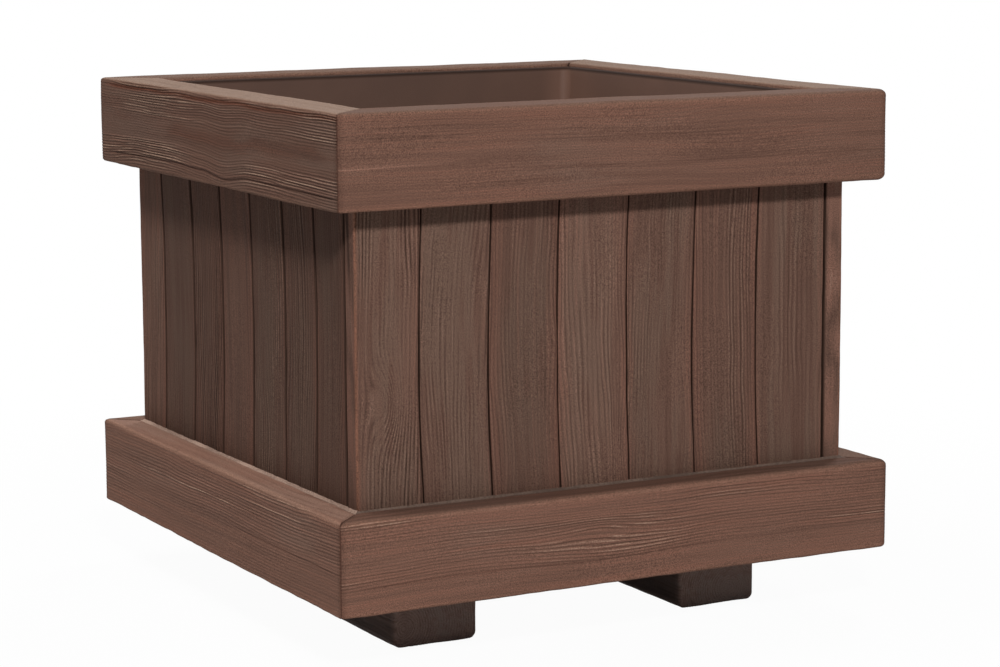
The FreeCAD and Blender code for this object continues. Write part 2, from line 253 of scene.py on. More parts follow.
# how the stain has weathered on every timber, with painted sheen on the tops and painted highlights on crests
# and arrises: pairs say where a tint begins and where it is full
aged = {
    "body": (0.34, 0.62), "grey": (0.42, 0.62), "greyShare": 0.75, "red": (0.2, 1.0), "redShare": 0.85,
    "rust": (1.0, 2.2), "rustShare": 0.85, "dustAndSheen": (-0.7, -1.7), "valley": (0.85, 0.0), "crest": (0.78, 1.0),
    "broken": (0.25, 0.6), "rubbedAndHighlit": (0.25, 1.0), "gapShare": 0.92, "rough": (0.3, 0.7),
    "strength": (0.32, 0.66, 0.2, 1.2),  # some growth lines stand up more than their neighbours
    "ringStray": 0.34,  # how far a growth line strays with the fine grain, in rings
    "speckles": 1000.0, "relief": 0.7 * mm, "gloss": 0.02,
}
toneStep = 0.1  # one step of tone, as a share of the colour


def timberFinish(name, look):
    finish = Finish(name)
    grain, (across, _, depth) = finish.mark("grain")
    _, (raised, wear, gap) = finish.mark("marks")
    _, (shift, tone, blush) = finish.mark("growth")
    tint = {key: stain(seen) for key, seen in look["tints"].items()}
    noises = [finish.noise(finish.stretch(grain, factors), 1.0, detail, rough)
              for factors, detail, rough in grainNoise.values()]
    fine, streak, blotch, strength = noises
    speckle = finish.noise(finish.place(), aged["speckles"], 1.0, 0.6)
    radius = finish.length(finish.node("ShaderNodeCombineXYZ", inputs={0: across, 2: depth}))
    # 0 in the valley of a growth line, 1 on the crest between two
    crest = finish.wave(radius + shift + fine * aged["ringStray"])
    colour = finish.blend(finish.ramp(streak, *aged["body"]), tint["deep"], tint["body"])
    greyed = finish.ramp(blotch + (streak - 0.5) * 0.7 - blush * 0.12, *aged["grey"])
    colour = finish.blend(greyed * aged["greyShare"], colour, tint["grey"])
    reddened = finish.ramp(blush + (streak - 0.5) * 1.6 + (crest - 0.6) * 0.3, *aged["red"])
    colour = finish.blend(reddened * aged["redShare"], colour, tint["red"])
    rusty = finish.ramp(blush, *aged["rust"])
    colour = finish.blend(rusty * aged["rustShare"], colour, tint["rust"])
    colour = finish.blend(finish.ramp(blush, *aged["dustAndSheen"]), colour, tint["dustAndSheen"])  # tops that weather and gather dust, with painted sheen where light glances off them
    stands = raised * finish.ramp(strength, *aged["strength"])
    broken = finish.ramp(fine + (speckle - 0.5) * 0.8, *aged["broken"])
    proud = finish.ramp(stands, *look["proud"]) * broken
    lined = finish.ramp(crest, *aged["valley"]) * stands
    colour = finish.blend(lined * look["lineShare"], colour, tint["line"])
    # crests of proud growth lines painted paler: a painted highlight where the ridges catch the light
    lit = finish.ramp(crest, *aged["crest"]) * proud
    colour = finish.blend(lit * look["lightShare"], colour, tint["light"])
    # worn arrises painted paler: real wear, and a painted highlight where the edges catch the light
    rubbedAndHighlit = finish.ramp(wear + (fine - 0.5) * 0.7 + (speckle - 0.5) * 0.5, *aged["rubbedAndHighlit"])
    colour = finish.blend(rubbedAndHighlit * look["edgeShare"], colour, tint["edge"])
    colour = finish.shade(colour, (1 + tone * toneStep) * (1 + (speckle - 0.5) * (2 * look["speckle"])))
    finish.put("Base Color", finish.blend(gap * aged["gapShare"], colour, tint["gap"]))
    finish.put("Roughness", finish.ramp(fine * 0.5 + streak * 0.5, *aged["rough"], *look["rough"]))
    finish.bump(look["bump"], aged["relief"], crest * stands * 0.7 + fine * 0.2 + speckle * 0.15)
    finish.put("Specular IOR Level", aged["gloss"])
    return finish.material


timber = {name: timberFinish(name + "Timber", look) for name, look in timberLooks.items()}
print("timber finishes:", ", ".join(timber))


# Sections and timbers

# how far each kind of unevenness spreads across and along a timber, in metres
spreads = {
    "wander": (0.05, 0.16), "waver": (0.018, 0.07), "tremble": (0.006, 0.03), "patch": (0.03, 0.15),
    "swell": (0.045, 0.13), "dent": (0.02, 0.05), "tone": (0.03, 0.1),
    "rag": (0.012, 0.02), "longRag": (0.03, 0.02),  # along an edge and into the timber
}
# what all timbers share
timberShape = {
    "arcSteps": 6,  # points on a rounded edge
    "wornReach": (1.1, 1.2 * mm),  # how far wear, with a painted highlight on the arris, spreads from an edge: share of its radius, and more
    "fullRidge": 0.45 * mm,  # a growth line this high shows in full strength
    "ridgeMiddle": 0.6,  # the level between valley and crest that lies on the sawn face
    "endReach": 6 * mm, "footReach": 9 * mm,  # how far the ends stay clear of the skids' painted side shade, and how far the dark foot of a board reaches
    "seedStep": 0.37,  # so that no two timbers share a stretch of grain
    "sharpTurn": math.radians(62),
}
seamShape = {"stray": 0.7, "strayLength": 0.04, "fade": 0.03, "skin": 4 * mm}


def spread(kind, across, along, seed, start=0):
    wide, long = spreads[kind]
    return cloud(across / wide + start, along / long, seed)


def outlineOf(corners, arcSteps=timberShape["arcSteps"]):
    # corners run anticlockwise: across, depth, radius, points on the way to the next corner, showing
    count = len(corners)
    places = np.array([corner[:2] for corner in corners])
    points, normals, shows = [], [], []
    for i, (_, _, radius, steps, showing) in enumerate(corners):
        here = places[i]
        ahead = places[(i + 1) % count] - here
        run = np.linalg.norm(ahead)
        ahead = ahead / run
        behind = here - places[i - 1]
        behind = behind / np.linalg.norm(behind)
        outward = np.array((ahead[1], -ahead[0]))
        if radius > 0:
            middle = here - behind * radius + ahead * radius
            for turn in np.linspace(0, math.pi / 2, arcSteps + 1):
                normal = -ahead * math.cos(turn) + behind * math.sin(turn)
                points.append(middle + normal * radius)
                normals.append(normal)
                shows.append(max(showing, corners[i - 1][4]))
        else:
            points.append(here)
            normals.append(outward)
            shows.append(min(showing, corners[i - 1][4]))
        length = run - radius - corners[(i + 1) % count][2]
        for step in range(steps):
            points.append(here + ahead * (radius + length * (step + 1) / (steps + 1)))
            normals.append(outward)
            shows.append(showing)
    points = np.array(points)
    wear = np.zeros(len(points))
    share, more = timberShape["wornReach"]
    for (a, d, radius, _, _) in corners:
        if radius > 0:
            far = np.hypot(points[:, 0] - a, points[:, 1] - d)
            wear = np.maximum(wear, np.exp(-((far / (share * radius + more)) ** 2)))
    return points, np.array(normals), np.array(shows, float), wear


def easeThrough(where, stops):
    # a smooth line through a few given stops: place, value
    places, values = (np.array(part, float) for part in zip(*stops))
    before = np.clip(np.searchsorted(places, where) - 1, 0, len(places) - 2)
    share = np.clip((where - places[before]) / (places[before + 1] - places[before]), 0, 1)
    share = share * share * (3 - 2 * share)
    return values[before] * (1 - share) + values[before + 1] * share


def ringShift(across, along, growth):
    # how far the growth lines stray from plain circles, in rings
    seed = growth["seed"]
    wander = growth["wander"]
    shift = wander * spread("wander", across, along, seed)
    shift = shift + 0.4 * wander * spread("waver", across, along, seed + 1, 7)
    shift = shift + 0.15 * spread("tremble", across, along, seed + 2)
    for (a, s, wide, long, rings) in growth["knots"]:
        shift = shift + rings * np.exp(-(((across - a) / wide) ** 2) - ((along - s) / long) ** 2)
    return shift


def seamLayers(seams, across, risen, along, depth, seed):
    # splits, proud lines and bands of the outer face, which run with the grain or straight
    layers = {"lift": 0 * across, "gap": 0 * across, "tone": 0 * across, "blush": 0 * across}
    fade = seamShape["fade"]
    for number, drawn in enumerate(seams):
        stray = cloud(along / seamShape["strayLength"], number + 0.5, seed + 9)
        stray = drawn["width"] * seamShape["stray"] * stray
        away = ((across if drawn.get("straight") else risen) - drawn["level"] - stray) / drawn["width"]
        first, last = drawn["span"]
        within = np.clip((along - first) / fade, 0, 1) * np.clip((last - along) / fade, 0, 1)
        mark = np.exp(-away ** 2) * within * (depth < seamShape["skin"])
        for key in layers:
            layers[key] = layers[key] + drawn.get(key, 0) * mark
    return layers


def growthOf(seed, look, section, **more):
    # how one timber grew: everything that a piece doesn't say for itself
    none, full = np.zeros(len(section[0])), np.ones(len(section[0]))
    growth = {
        "seed": seed, "ease": look["ease"], "spacing": look["spacing"],
        "uneven": look["uneven"], "rag": look["rag"],
        "wander": 1.0, "knots": (), "flow": ((-1, 0), (1, 0)), "settle": ((-1, 1), (1, 1)), "seams": (),
        "ridgeLevels": ((-1, 1), (1, 1)), "faceRidge": full, "endGap": none, "edgeGap": none,
        "tone": 0.0, "faceTone": none, "footTone": (0.0, 0.0), "sideTone": 0.0, "blush": none,
    }
    return {**growth, **more}


def grow(growth, across, along, depth, wear, fromEnd):
    # how far each spot stands up, and the numbers that the finish reads there
    seed, ease, spacing = growth["seed"], growth["ease"], growth["spacing"]
    pithAcross, pithDepth, leanAcross, leanDepth = growth["pith"]
    settle = easeThrough(across, growth["settle"])  # the flow dies out towards some edges
    risen = across - settle * easeThrough(along, growth["flow"])  # the place across, with the grain
    ringsAcross = (risen - pithAcross - leanAcross * along) / spacing
    ringsDeep = (depth - pithDepth - leanDepth * along) / spacing
    shift = ringShift(risen, along, growth)
    rings = np.hypot(ringsAcross, ringsDeep) + shift
    patch = np.clip(0.5 + 0.9 * spread("patch", risen, along, seed + 3, 3), 0, 1)
    raised = growth["ridge"] * growth["faceRidge"][None, :] * (0.3 + 0.7 * patch)
    raised = raised * easeThrough(risen, growth["ridgeLevels"])
    ridge = np.abs(np.sin(math.pi * rings)) - timberShape["ridgeMiddle"]
    broad = spread("swell", across, along, seed + 4) + 0.5 * spread("dent", across, along, seed + 5)
    rag = spread("rag", along, depth, seed + 6) + spread("longRag", along, depth, seed + 7)
    seams = seamLayers(growth["seams"], across, risen, along, depth, seed)
    lift = raised * ridge + growth["uneven"] * broad + wear * growth["rag"] * rag + seams["lift"]
    gap = np.exp(-fromEnd / (0.8 * ease + 0.2 * mm)) * growth["endGap"][None, :] + growth["edgeGap"][None, :]
    tone = growth["tone"] + growth["faceTone"][None, :] + 0.3 * spread("tone", risen, along, seed + 8)
    foot, footTone = growth["footTone"]
    tone = tone + footTone * np.exp(-np.abs(along - foot) / timberShape["footReach"])
    tone = tone + growth["sideTone"] * np.clip(fromEnd / timberShape["endReach"], 0, 1)
    blush = growth["blush"][None, :] + seams["blush"]
    gap = np.clip(gap + seams["gap"], 0, 1)
    return lift, {
        "grain": np.stack((ringsAcross, along + seed * timberShape["seedStep"], ringsDeep), axis=-1),
        "marks": np.stack((raised / timberShape["fullRidge"], wear, gap), axis=-1),
        "growth": np.stack((shift, tone + seams["tone"], blush), axis=-1),
    }


def between(first, last, share):
    # from a section's values at one end of a piece to its values at the other
    return first[None, :] * (1 - share) + last[None, :] * share


def makeTimber(name, sections, shares, ends, axes, growth, bend, capLoops=0):
    # a section carried along a piece, with the growth lines standing up on the faces that show
    (points, normals, shows, wear), (lastPoints, lastNormals, _, lastWear) = sections
    acrossAxis, alongAxis, depthAxis = axes
    share = shares[:, None]
    across, depth = (between(points[:, i], lastPoints[:, i], share) for i in range(2))
    outAcross, outDepth = (between(normals[:, i], lastNormals[:, i], share) for i in range(2))
    start, end = ends(across, depth)
    along = start + (end - start) * share
    fromEnd = np.minimum(along - start, end - along)
    ease = growth["ease"]
    sunk = ease - np.sqrt(np.maximum(ease * ease - (ease - np.minimum(fromEnd, ease)) ** 2, 0))
    lift, marks = grow(growth, across, along, depth, between(wear, lastWear, share), fromEnd)
    lift = shows[None, :] * lift - sunk
    across, depth = bend(across, along, depth)
    place = (across + outAcross * lift)[..., None] * acrossAxis + along[..., None] * alongAxis
    place = place + (depth + outDepth * lift)[..., None] * depthAxis
    return meshPiece(name, *closedSkin(place, marks, capLoops))


def closedSkin(place, marks, capLoops=0):
    # faces round rows of points, and caps, with ever smaller loops where end grain shows
    rows, columns = place.shape[:2]
    place = place.reshape(-1, 3)
    marks = {key: values.reshape(-1, 3) for key, values in marks.items()}
    ring = np.arange(columns)
    following = (ring + 1) % columns
    faces = []
    for row in range(rows - 1):
        low, high = row * columns, (row + 1) * columns
        faces += np.stack((low + ring, low + following, high + following, high + ring), axis=1).tolist()
    for edge in (ring, (rows - 1) * columns + ring):
        loop = edge
        for step in range(1, capLoops + 1):
            inner = len(place) + ring
            pull = step / (capLoops + 1)
            place = np.concatenate((place, place[edge] * (1 - pull) + place[edge].mean(0) * pull))
            for key, values in marks.items():
                pulled = values[edge] * (1 - pull) + values[edge].mean(0) * pull
                marks[key] = np.concatenate((values, pulled))
            faces += np.stack((loop, loop[following], inner[following], inner), axis=1).tolist()
            loop = inner
        faces.append(loop.tolist())
    return place, faces, marks


def meshPiece(name, place, faces, marks):
    mesh = bpy.data.meshes.new(name)
    mesh.from_pydata(place.tolist(), [], faces)
    for key, values in marks.items():
        attribute = mesh.attributes.new(key, "FLOAT_VECTOR", "POINT")
        attribute.data.foreach_set("vector", values.astype(np.float32).ravel())
    edit = bmesh.new()
    edit.from_mesh(mesh)
    bmesh.ops.recalc_face_normals(edit, faces=edit.faces)
    edit.to_mesh(mesh)
    edit.free()
    mesh.shade_smooth()
    mesh.set_sharp_from_angle(angle=timberShape["sharpTurn"])
    made = bpy.data.objects.new(name, mesh)
    scene.collection.objects.link(made)
    return made


def fit(piece, look, slot, *nodes):
    # the finish, the body it rides on and the solids it stands for
    piece.data.materials.append(timber[look])
    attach(piece, "planter")
    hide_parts(*nodes)


def evenShares(length, spacing, ease):
    # places along a piece, closer together where its ends are eased
    body = np.linspace(ease, length - ease, max(2, int(round((length - 2 * ease) / spacing))))
    foot, head = np.array((0, 0.3, 0.65)) * ease, length - np.array((0.65, 0.3, 0)) * ease
    return np.concatenate((foot, body, head)) / length


def squareEnds(first, last):
    return lambda across, depth: (first + 0 * across, last + 0 * across)


def mitredEnds(first, last):
    return lambda across, depth: (first + depth, last - depth)


def straightTimber(name, node, look, sections, axes, growth, ends=squareEnds):
    # a timber that runs straight from end to end of its solid
    first, last = reach(node, axes[1])
    face = reach(node, axes[2])[0]
    shares = evenShares(last - first, look["along"], look["ease"])
    return makeTimber(name, sections, shares, ends(first, last), axes, growth,
                      lambda across, along, depth: (across, depth + face), look.get("capLoops", 0))


def pithOf(dice, look, middle, side=1):
    # where the tree's heart was: across, depth, and how it leans both ways along the timber
    across, *others = [dice.uniform(*limits) for limits in look["pith"]]
    return (middle + side * across, *others)


# Wall boards

boardLook = {
    "points": 112, "edgePoints": 14, "along": 5.5 * mm, "ease": 1.0 * mm,
    "spacing": 4.4 * mm, "uneven": 0.3 * mm, "rag": 0.12 * mm,
    "nearRadius": 0.9 * mm, "cornerRadius": 2.2 * mm, "cornerReach": 5 * mm,
    "farRadius": bySideMm(3.6, 2.2, 3, 1.4),
    "tongue": (6 * mm, 7 * mm), "slack": 0.2 * mm,
    "gap": bySideMm(0.5, 1.4, 0.9, 2.4), "lapGap": 3.0 * mm,
    # how far joints wander, over which heights, and how far they bow at half height
    "stray": bySideMm(1.1, 1.4, 1.4, 2.4), "strayLength": (0.13, 0.03), "bow": bySideMm(-3, 2, -2, 7),
    # stain lying in a joint, behind the board and beside a joint
    "jointShade": 1.0 * mm, "jointSkin": 0.8 * mm, "backShade": 1.5 * mm,
    "darkEdge": bySideMm(0, 1.2, 0.6, 1.9),
    "nearBlush": (0.6, 12 * mm), "farBlush": (0.75, 10 * mm),
    # tone by wall, partly stain, partly painted shade: the left wall darker, as it lies in shade under the
    # rim
    "tone": bySide(0, -0.4, -0.2, -1.8), "lapTone": 2.2,
    "footTone": -2.2,  # darker just above the base
    # between which limits boards differ by chance
    "pith": ((0.05, 0.16), (0.0, 0.05), (-0.03, 0.03), (-0.06, 0.06)),
    "chance": {"spacing": (0.85, 1.15), "wander": (0.8, 1.6), "ridge": (0.5, 1.4),
               "tone": (-0.5, 0.5), "blush": (-0.2, 0.25)},
    # single boards that are paler or darker, and some that are lined more plainly
    "boardTone": {("front", 3): -1.2, ("front", 4): 0.9, ("front", 6): -0.9,
                  ("left", 1): 2.8, ("left", 4): 0.6, ("left", 7): -0.7},
    "ridge": bySideMm(0.26, 0.3, 0.26, 0.38),
    "boardRidge": {("front", 1): 2.2, ("front", 2): 1.3, ("front", 4): 0.9, ("front", 5): 0.9},
    # grain turned aside: place across, height, half width, half height, rings
    "knots": {
        ("front", 1): [(-0.238, 0.252, 0.016, 0.034, 5.0)],
        ("front", 4): [(0.020, 0.185, 0.012, 0.05, 3.0)],
        ("left", 3): [(0.06, 0.30, 0.010, 0.03, 3.0)],
        ("right", 5): [(0.05, 0.33, 0.012, 0.03, 4.0)],
        ("back", 2): [(-0.16, 0.23, 0.012, 0.03, 4.0)],
    },
    "tuck": 3 * mm, "lowerRow": 8 * mm,  # rows of points run on behind the rails, with one further down
}
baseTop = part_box("base_rail_front")[1].z
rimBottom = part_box("rim_rail_front")[0].z


def jointCurve(side, joint, height):
    # the wander of a joint, alike for the boards on both sides of it
    if joint in (0, boardsPerWall):
        return 0 * height
    row = 40 * wallOrder.index(side) + joint + 0.5
    long, short = boardLook["strayLength"]
    wander = cloud(height / long, row, 11) + 0.2 * cloud(height / short, row, 12)
    share = np.clip((height - baseTop) / (rimBottom - baseTop), 0, 1)
    return boardLook["stray"][side] * wander + boardLook["bow"][side] * 4 * share * (1 - share)


def boardOutline(side, near, far, thick, first, last):
    # a tongue on the far edge and a groove in the near one, except at the ends of a wall
    look = boardLook
    nearRadius = look["nearRadius"]
    half, run = look["tongue"][0] / 2, look["tongue"][1]
    middle, slack = thick / 2, look["slack"]
    corners = [(near, 0, look["cornerRadius"] if first else nearRadius, look["points"], 1),
               (far, 0, nearRadius if last else look["farRadius"][side], 2, 0)]
    if not last:
        low, high = middle - half, middle + half
        tongue = (far, low), (far + run, low), (far + run, high), (far, high)
        corners += [(a, d, 0, 0, 0) for a, d in tongue]
    corners += [(far, thick, 0, 0, 0)]
    if first:
        corners += [(near, thick, nearRadius, look["edgePoints"], 1)]
    else:
        low, high = middle - half - slack, middle + half + slack
        groove = (near, thick), (near, high), (near + run, high), (near + run, low)
        corners += [(a, d, 0, 0, 0) for a, d in groove] + [(near, low, 0, 2, 0)]
    places, normals, shows, wear = outlineOf(corners)
    # wear gathers on the wall's corner arris, painted paler there as wear and as a painted highlight
    fromCorner = (places[:, 0] - near) ** 2 + places[:, 1] ** 2
    atCorner = np.exp(-fromCorner / look["cornerReach"] ** 2) * first
    return places, normals, shows, wear * (0.15 + 0.85 * atCorner)


def boardGrowth(side, number, section, near, far, thick):
    look = boardLook
    places, normals = section[:2]
    first = number == 1
    beside = wallOrder[wallOrder.index(side) - 1]  # where the lapped edge of board 1 shows
    onEdge = np.clip(-normals[:, 0] * 2 - 0.6, 0, 1) * first
    fromNear, fromFar = places[:, 0] - near, far - places[:, 0]
    fromJoint = fromNear + (1 if first else 0)  # board 1 has no joint on its near side
    toJoint = np.maximum(np.minimum(fromJoint, fromFar), 0)
    inJoint = np.clip(1 - toJoint / look["jointShade"], 0, 1) * (places[:, 1] > look["jointSkin"])
    behind = np.clip((places[:, 1] - thick) / look["backShade"] + 1, 0, 1)
    besideJoint = np.clip(1.6 - 1.6 * toJoint / (look["darkEdge"][side] + 0.01 * mm), 0, 1)
    (nearBlush, nearReach), (farBlush, farReach) = look["nearBlush"], look["farBlush"]
    edgeBlush = nearBlush * np.exp(-np.maximum(fromNear, 0) / nearReach)
    edgeBlush = edgeBlush + farBlush * np.exp(-np.maximum(fromFar, 0) / farReach)
    seed = 100 + 31 * wallOrder.index(side) + 3 * number
    dice = np.random.default_rng(seed)
    pith = pithOf(dice, look, (near + far) / 2, dice.choice((-1, 1)))
    drawn = {key: dice.uniform(*limits) for key, limits in look["chance"].items()}
    return growthOf(
        seed, look, section,
        pith=pith,
        spacing=look["spacing"] * drawn["spacing"],
        wander=drawn["wander"],
        ridge=look["ridge"][side] * look["boardRidge"].get((side, number), drawn["ridge"]),
        tone=look["tone"][side] + drawn["tone"] + look["boardTone"].get((side, number), 0),
        knots=look["knots"].get((side, number), ()),
        faceTone=(look["tone"][beside] + look["lapTone"] - look["tone"][side]) * onEdge,
        edgeGap=np.maximum.reduce((inJoint, behind, besideJoint)),
        endGap=np.ones(len(places)),
        blush=edgeBlush + drawn["blush"],
        footTone=(baseTop, look["footTone"]),
    )


def makeBoard(side, number):
    look = boardLook
    node = f"{side}_board_{number}"
    counted, inward = walls[side]
    first, last = number == 1, number == boardsPerWall
    near, far = reach(node, counted)
    if last:
        far = far - look["lapGap"]
    else:
        far = reach(f"{side}_board_{number + 1}", counted)[0] - look["gap"][side]
    face, back = reach(node, inward)
    bottom, top = reach(node, up)
    section = boardOutline(side, near, far, back - face, first, last)
    growth = boardGrowth(side, number, section, near, far, back - face)
    ease, tuck = look["ease"], look["tuck"]
    shown = np.linspace(baseTop - tuck, rimBottom + tuck, int((rimBottom - baseTop) / look["along"]))
    rows = np.concatenate(([bottom, bottom + ease, baseTop - look["lowerRow"]], shown, [top - ease, top]))

    def bend(across, along, depth):
        share = np.clip((across - near) / (far - near), 0, 1)
        across = across + jointCurve(side, number - 1, along) * (1 - share)
        return across + jointCurve(side, number, along) * share, depth + face

    board = makeTimber(f"board{side.title()}{number}", (section, section), (rows - bottom) / (top - bottom),
                       squareEnds(bottom, top), (counted, up, inward), growth, bend)
    fit(board, "board", "board_timber", node)


for wallSide in walls:
    for boardNumber in range(1, boardsPerWall + 1):
        makeBoard(wallSide, boardNumber)
print("wall boards:", len(walls) * boardsPerWall)


# Rim and base rails

# what both frames share
railLook = {
    "topPoints": 22, "innerPoints": 12, "backPoints": 12, "along": 6 * mm, "faceJoint": 0.8,
    "settle": (1.1, 0.45),  # how much of the grain's flow is felt at the foot and at the top
    "innerReach": 5 * mm, "edgeBlush": (0.3, 8 * mm),
    # between which limits rails differ by chance
    "pith": ((0.1, 0.2), (0.0, 0.04), (-0.02, 0.02), (-0.04, 0.04)), "spacingChance": (0.95, 1.05),
}


def seam(level, width, span, lift=0, **more):
    # a split, a proud line or a stained band: level, width and lift in millimetres, span in metres; a proud
    # line's tone paints it paler, as a painted highlight
    return {"level": level * mm, "width": width * mm, "span": span, "lift": lift * mm, **more}


# Radii at both ends, heights above the foot, rises and half widths are in millimetres, places and half
# lengths along a rail in metres. Flow is place, rise of the grain. Levels are height, how strongly growth
# lines stand up. Knots turn the grain aside: height, place, half width, half length, rings.
rimLook = {
    **railLook,
    "topRadius": bySide((3.5, 6), (6, 5), (5, 3.5), (3.5, 3.5)),
    "footRadius": bySide((2, 6), (6, 5), (5, 3), (3, 2)),
    "innerRadius": 4 * mm, "ease": 0.9 * mm, "points": 170,
    "spacing": 2.9 * mm, "wander": 1.1, "uneven": 0.35 * mm, "rag": 0.2 * mm, "seed": 300,
    "ridge": bySideMm(0.2, 0.25, 0.2, 0.68), "topRidge": 0.25,
    # the tops' tone and blush are partly stain, partly painted light and painted sheen for how light falls on
    # each top
    "blush": bySide(0.45, 0.3, 0.3, -0.1), "topBlushAndSheen": bySide(-1.2, -2.2, -1.6, -1.8),
    "tone": bySide(0, 0, 0, -0.35), "topStainLightAndShade": bySide(-2, -0.5, -1.6, 0.5),
    # the front rail's inner arris is painted paler: a painted highlight along that edge, with some wear
    "innerTone": bySide(5, 0.5, -0.5, 1), "topJoint": 0.12,
    "knots": {"front": [(45, 0.12, 20, 0.09, 2.0)], "right": [(45, 0.1, 20, 0.06, 3.0)]},
    "flow": {"left": ((-0.30, -0.5), (-0.105, 1.8), (-0.02, 0.3), (0.038, -4.4), (0.10, 0.3), (0.30, -1.0)),
             "front": ((-0.30, -1.5), (-0.10, 1.5), (0.10, 0), (0.30, 1.0))},
    "levels": {"left": ((0, 0.3), (12, 0.8), (25, 1.0), (36, 0.35), (52, 0.25), (62, 1.0), (90, 1.0)),
             "front": ((0, 0.5), (40, 1.0), (60, 1.0), (90, 0.5))},
    "seams": {
        "left": [
            seam(13, 0.8, (-0.29, 0.31), lift=-0.8, gap=0.85),
            seam(15.5, 0.8, (-0.25, 0.31), lift=0.3, tone=1.5),
            seam(26, 0.7, (-0.30, 0.31), lift=0.4, tone=3.0),
            seam(31, 0.6, (-0.30, -0.05), lift=0.3, tone=3.0),
            seam(47, 8.0, (-0.12, 0.28), tone=-2.3, blush=0.8),
            seam(61, 0.6, (-0.28, 0.02), lift=0.3, tone=3.5),
            seam(84.5, 2.4, (-0.29, 0.33), lift=-0.5, tone=-3.0, blush=2.4, straight=True),
            seam(89, 1.2, (0.287, 0.34), tone=9.0, straight=True),
        ],
        "front": [
            seam(40, 0.6, (-0.34, -0.20), lift=0.2, tone=6.0),
            seam(41.5, 1.6, (-0.30, -0.17), tone=1.8),
            seam(49, 3.0, (-0.21, 0.02), tone=0.9),
            seam(57, 0.6, (-0.15, 0.22), lift=-0.2, tone=-2.0),
            seam(30, 0.6, (-0.05, 0.30), lift=-0.2, tone=-1.5),
            seam(66, 0.6, (-0.28, -0.02), lift=-0.2, tone=-2.0),
            seam(75, 0.6, (-0.29, 0.05), lift=-0.2, tone=-1.5),
            seam(71, 0.6, (0.0, 0.29), lift=0.2, tone=1.5),
        ],
    },
}
baseLook = {
    **railLook,
    "topRadius": bySide((5, 6), (6, 5), (5, 4), (4, 5)),
    "footRadius": bySide((2.5, 4), (4, 4), (4, 3), (3, 2.5)),
    "ease": 1.0 * mm, "points": 160,
    "spacing": 3.1 * mm, "wander": 0.7, "uneven": 0.3 * mm, "rag": 0.25 * mm, "seed": 400,
    "ridge": bySideMm(0.36, 0.25, 0.25, 0.36), "topRidge": 0.7,
    # tops partly stain, partly painted light, painted sheen and painted shade: the front ledge, under the
    # rim, is painted darker as painted shade
    "blush": bySide(0.5, 0.4, 0.4, 0.35), "topBlushAndSheen": bySide(-0.4, -1.6, -1, -1.3),
    # tone by side, partly stain, partly painted light: the left side paler for the light that reaches it
    "tone": bySide(1.4, 0.3, 0.3, 2.85), "topStainLightAndShade": bySide(-3.2, 1, 0.3, 2.4),
    "innerTone": bySide(-1, -1, -1, -1), "topJoint": 0.7,
    "knots": {"front": [(58, -0.036, 14, 0.05, 2.5)]},
    "flow": {"front": ((-0.30, -2.0), (-0.17, 1.0), (-0.03, -2.5), (0.12, 1.5), (0.30, 0)),
             "left": ((-0.30, 0.6), (0.0, -0.6), (0.30, 0.4))},
    "levels": {"front": ((0, 0.1), (22, 0.2), (34, 1.0), (90, 1.0)),
             "left": ((0, 0.3), (20, 0.6), (45, 1.0), (90, 1.0))},
    "seams": {
        "left": [
            seam(22, 0.6, (-0.3, 0.1), lift=0.2, tone=1.4),
            seam(40, 0.7, (0.05, 0.31), lift=-0.4, gap=0.5),
            seam(89, 1.2, (0.29, 0.34), tone=6.0, straight=True),
        ],
        "front": [seam(27, 0.8, (-0.29, 0.12), lift=-0.3, gap=0.35)],
    },
}
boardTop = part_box("front_board_1")[1].z


def railOutline(look, side, end, low, high, wall, thick):
    # up the outer face, in over the top, and down behind
    foot, head = (look[radius][side][end] * mm for radius in ("footRadius", "topRadius"))
    corners = [(low, 0, foot, look["points"], 1), (high, 0, head, look["topPoints"], 1)]
    if "innerRadius" in look:  # a rim rail's cap closes over the boards
        corners += [(high, thick, look["innerRadius"], look["innerPoints"], 1)]
        corners += [(boardTop, thick, 0, 0, 0), (boardTop, wall, 0, 0, 0)]
    else:
        corners += [(high, wall, 0, 0, 0)]
    return outlineOf(corners + [(low, wall, 0, look["backPoints"], 1)])


def railGrowth(look, side, section, low, high, thick):
    places, normals = section[:2]
    seed = look["seed"] + 17 * wallOrder.index(side)
    dice = np.random.default_rng(seed)
    toEdge = np.minimum(places[:, 0] - low, high - places[:, 0])
    onTop = np.clip((normals[:, 0] - 0.5) * 3, 0, 1)
    atInner = np.hypot(places[:, 0] - high, places[:, 1] - thick) / look["innerReach"]
    edgeBlush, edgeReach = look["edgeBlush"]
    levels = look["levels"].get(side, ((0, 1), (90, 1)))
    flow = look["flow"].get(side, ((-1, 0), (1, 0)))
    seams = [{**drawn, "level": low + drawn["level"]} for drawn in look["seams"].get(side, ())]
    return growthOf(
        seed, look, section,
        pith=pithOf(dice, look, (low + high) / 2, dice.choice((-1, 1))),
        spacing=look["spacing"] * dice.uniform(*look["spacingChance"]),
        wander=look["wander"],
        ridge=look["ridge"][side],
        ridgeLevels=[(low + height * mm, share) for height, share in levels],
        flow=[(place, rise * mm) for place, rise in flow],
        settle=tuple(zip((low, high), look["settle"])),
        seams=seams,
        tone=look["tone"][side],
        # tops painted paler or darker for how light falls on them
        faceTone=look["topStainLightAndShade"][side] * onTop + look["innerTone"][side] * np.exp(-atInner ** 2),
        faceRidge=1 - (1 - look["topRidge"]) * onTop,
        knots=[(low + height * mm, s, wide * mm, long, rings)
               for height, s, wide, long, rings in look["knots"].get(side, ())],
        endGap=np.where(normals[:, 1] < -0.5, look["faceJoint"], look["topJoint"]),
        blush=look["blush"][side] + edgeBlush * np.exp(-toEdge / edgeReach) + look["topBlushAndSheen"][side] * onTop,
    )


